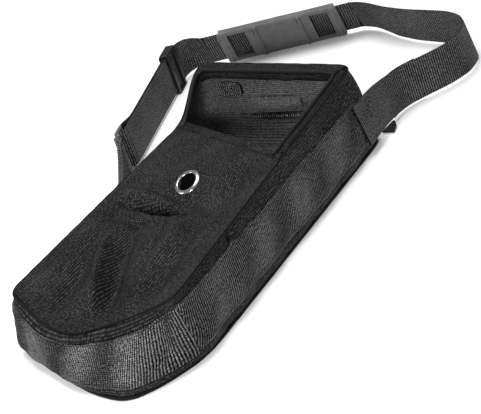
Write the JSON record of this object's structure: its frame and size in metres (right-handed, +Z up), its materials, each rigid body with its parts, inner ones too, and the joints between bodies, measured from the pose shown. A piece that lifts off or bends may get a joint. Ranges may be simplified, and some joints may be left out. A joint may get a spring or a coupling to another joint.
{
  "type": "telescope carry case",
  "caption": "Soft fabric carry case with a window mouth, metal eyelet, webbing sides and a shoulder strap with pad, slider and ring.",
  "frame": {"origin": "middle of the back panel's outer face, between the two side edges and the two ends' corners", "axes": "+Y from the bottom end to the mouth end, +X to the case's right side, +Z up off the surface that the case lies on"},
  "size_m": [0.4254, 0.762, 0.1084],
  "materials": {
    "fabric": "black coated nylon, plain weave, low sheen",
    "lining": "dark lining cloth",
    "webbing": "ribbed black polypropylene webbing",
    "binding": "woven seam binding with some gloss",
    "thread": "dark sewing thread",
    "nickel": "bright nickel plate",
    "pad_plastic": "matt charcoal moulded rubber-like plastic",
    "black_plastic": "black moulded acetal",
    "grey_plastic": "grey-black moulded acetal"
  },
  "bodies": {
    "bag": {"back_panel": "fabric", "front_panel": "fabric", "front_hem": "fabric", "gusset_right": "fabric", "gusset_bottom": "fabric", "gusset_left": "fabric", "gusset_top": "fabric", "webbing_right": "webbing", "webbing_bottom": "webbing", "webbing_left": "webbing", "front_binding": "binding", "back_binding": "binding", "mouth_binding": "binding", "mouth_border_left": "fabric", "mouth_border_top": "fabric", "mouth_border_right": "fabric", "inner_patch": "webbing", "inner_band": "lining", "inner_cross_strip": "webbing", "corner_tab": "fabric", "eyelet": "nickel", "eyelet_washer": "nickel", "strap": "webbing", "strap_sewn_end": "webbing", "strap_end_loop": "webbing", "anchor_webbing": "webbing", "join_stitches": "thread", "anchor_stitches": "thread"},
    "slider": {"slider": "black_plastic", "slider_loop": "webbing"},
    "pad": {"shoulder_pad": "pad_plastic"},
    "ring": {"ring": "grey_plastic"}
  },
  "joints": [
    {"name": "slider_slide", "type": "slide", "parent": "bag", "child": "slider", "axis": [0.259, -0.9659, 0], "range_m": [0, 0.06]},
    {"name": "pad_slide", "type": "slide", "parent": "bag", "child": "pad", "axis": [-0.9267, -0.3759, 0], "range_m": [-0.015, 0.015]},
    {"name": "ring_swing", "type": "hinge", "parent": "bag", "child": "ring", "pos_m": [-0.19549, 0.13374, 0.0288], "axis": [0, 0, 1], "range_deg": [-6, 6]}
  ]
}
